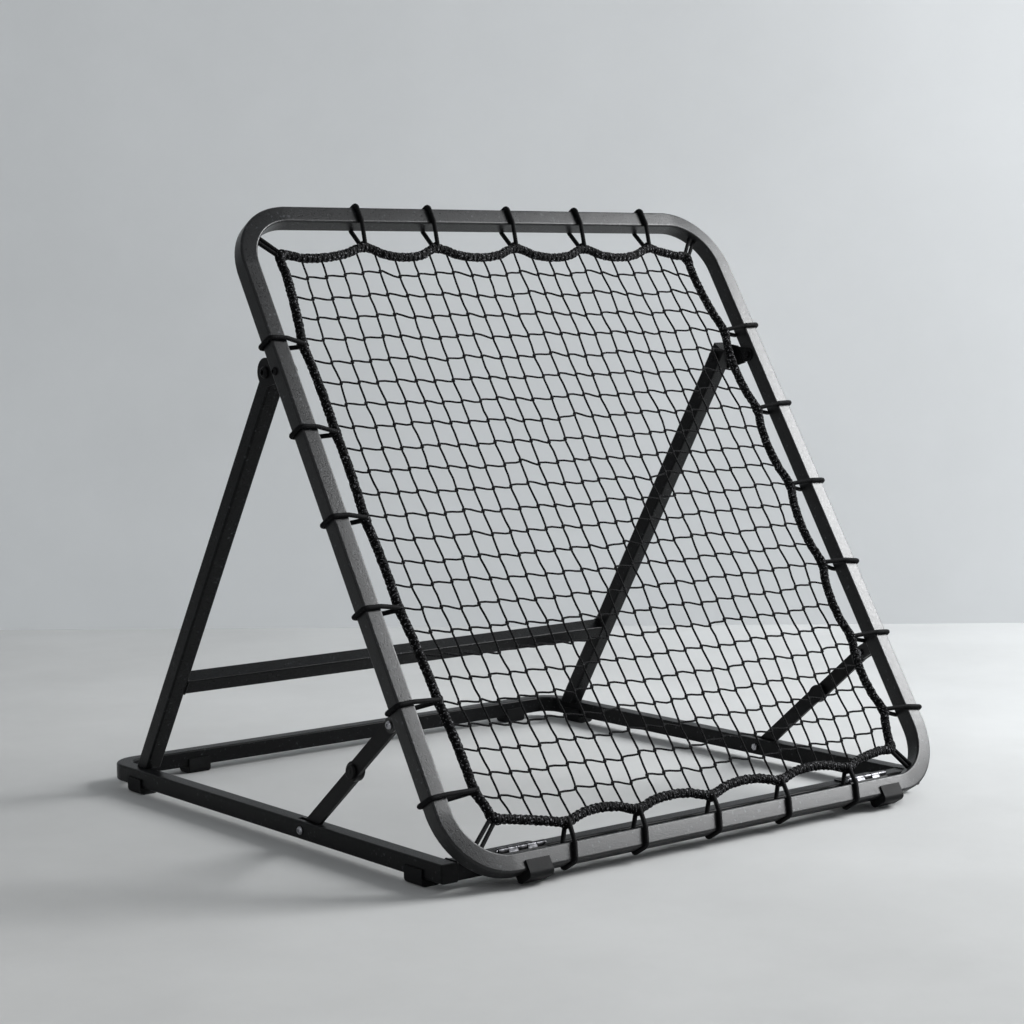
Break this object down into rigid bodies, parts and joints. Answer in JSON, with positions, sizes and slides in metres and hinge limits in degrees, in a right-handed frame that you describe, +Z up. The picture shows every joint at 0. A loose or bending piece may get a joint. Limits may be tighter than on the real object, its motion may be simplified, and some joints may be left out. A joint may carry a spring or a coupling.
{
  "type": "pitch back rebounder",
  "caption": "Net rebounder: a bent tube frame with a knotted net hung in elastic loops leans back on a hinged U-shaped base, held by a rear prop frame and folding side stays.",
  "frame": {"origin": "on the floor, in the middle of the footprint", "axes": "+X to the right seen from the front, +Y from the net to the back, +Z up"},
  "size_m": [1.0182, 1.0212, 0.9668],
  "materials": {
    "powder_coat": "fine-textured black powder coat",
    "black_steel": "black coated steel",
    "zinc": "zinc plated",
    "black_plastic": "moulded, satin",
    "cord": "braided polyester rope",
    "elastic_cord": "woven sleeve over elastic",
    "twine": "knotted twine"
  },
  "bodies": {
    "base": {"base_frame": "powder_coat", "base_end_cap_left": "black_plastic", "base_end_cap_right": "black_plastic", "base_front_foot_left": "black_plastic", "base_front_foot_right": "black_plastic", "base_side_foot_left": "black_plastic", "base_side_foot_right": "black_plastic", "base_rear_foot_left": "black_plastic", "base_rear_foot_right": "black_plastic", "hinge_leaf_base_left": "black_steel", "hinge_leaf_base_right": "black_steel", "hinge_pin_left": "zinc", "hinge_pin_right": "zinc", "stay_lower_bolt_left": "zinc", "stay_lower_bolt_right": "zinc"},
    "net_frame_body": {"net_frame": "powder_coat", "hinge_leaf_net_left": "black_steel", "hinge_leaf_net_right": "black_steel", "net_foot_left": "black_plastic", "net_foot_right": "black_plastic", "prop_bracket_left": "black_steel", "prop_bracket_right": "black_steel", "bracket_bolt_left": "black_steel", "bracket_bolt_right": "black_steel", "stay_upper_bolt_left": "zinc", "stay_upper_bolt_right": "zinc", "net": "twine", "border_rope": "cord", "bungee_loop_bottom_1": "elastic_cord", "bungee_loop_bottom_2": "elastic_cord", "bungee_loop_bottom_3": "elastic_cord", "bungee_loop_bottom_4": "elastic_cord", "bungee_loop_bottom_5": "elastic_cord", "bungee_loop_top_1": "elastic_cord", "bungee_loop_top_2": "elastic_cord", "bungee_loop_top_3": "elastic_cord", "bungee_loop_top_4": "elastic_cord", "bungee_loop_top_5": "elastic_cord", "bungee_loop_left_1": "elastic_cord", "bungee_loop_left_2": "elastic_cord", "bungee_loop_left_3": "elastic_cord", "bungee_loop_left_4": "elastic_cord", "bungee_loop_left_5": "elastic_cord", "bungee_loop_left_6": "elastic_cord", "bungee_loop_right_1": "elastic_cord", "bungee_loop_right_2": "elastic_cord", "bungee_loop_right_3": "elastic_cord", "bungee_loop_right_4": "elastic_cord", "bungee_loop_right_5": "elastic_cord", "bungee_loop_right_6": "elastic_cord"},
    "prop_body": {"prop_frame": "powder_coat", "prop_pivot_bolt_left": "black_steel", "prop_pivot_bolt_right": "black_steel"},
    "stay_upper_left_body": {"stay_upper_left": "black_steel", "stay_knuckle_left": "black_plastic"},
    "stay_upper_right_body": {"stay_upper_right": "black_steel", "stay_knuckle_right": "black_plastic"},
    "stay_lower_left_body": {"stay_lower_left": "black_steel"},
    "stay_lower_right_body": {"stay_lower_right": "black_steel"}
  },
  "joints": [
    {"name": "net_frame_tilt", "type": "hinge", "parent": "base", "child": "net_frame_body", "pos_m": [0, -0.4515, 0.0451], "axis": [-1, 0, 0], "range_deg": [0, 30]},
    {"name": "prop_swing", "type": "hinge", "parent": "net_frame_body", "child": "prop_body", "pos_m": [0, -0.00533, 0.70789], "axis": [1, 0, 0], "range_deg": [0, 64]},
    {"name": "stay_upper_swing_left", "type": "hinge", "parent": "net_frame_body", "child": "stay_upper_left_body", "pos_m": [-0.483, -0.32634, 0.21843], "axis": [1, 0, 0], "range_deg": [0, 96.75]},
    {"name": "stay_lower_swing_left", "type": "hinge", "parent": "base", "child": "stay_lower_left_body", "pos_m": [-0.4767, -0.0937, 0.026], "axis": [-1, 0, 0], "range_deg": [0, 34.5]},
    {"name": "stay_upper_swing_right", "type": "hinge", "parent": "net_frame_body", "child": "stay_upper_right_body", "pos_m": [0.483, -0.32634, 0.21843], "axis": [1, 0, 0], "range_deg": [0, 96.75]},
    {"name": "stay_lower_swing_right", "type": "hinge", "parent": "base", "child": "stay_lower_right_body", "pos_m": [0.4767, -0.0937, 0.026], "axis": [-1, 0, 0], "range_deg": [0, 34.5]}
  ],
  "couplings": [
    {"joint": "prop_swing", "follows": "net_frame_tilt", "ratio": 2.13},
    {"joint": "stay_upper_swing_left", "follows": "net_frame_tilt", "ratio": 3.2233},
    {"joint": "stay_lower_swing_left", "follows": "net_frame_tilt", "ratio": 1.1483},
    {"joint": "stay_upper_swing_right", "follows": "net_frame_tilt", "ratio": 3.2233},
    {"joint": "stay_lower_swing_right", "follows": "net_frame_tilt", "ratio": 1.1483}
  ]
}
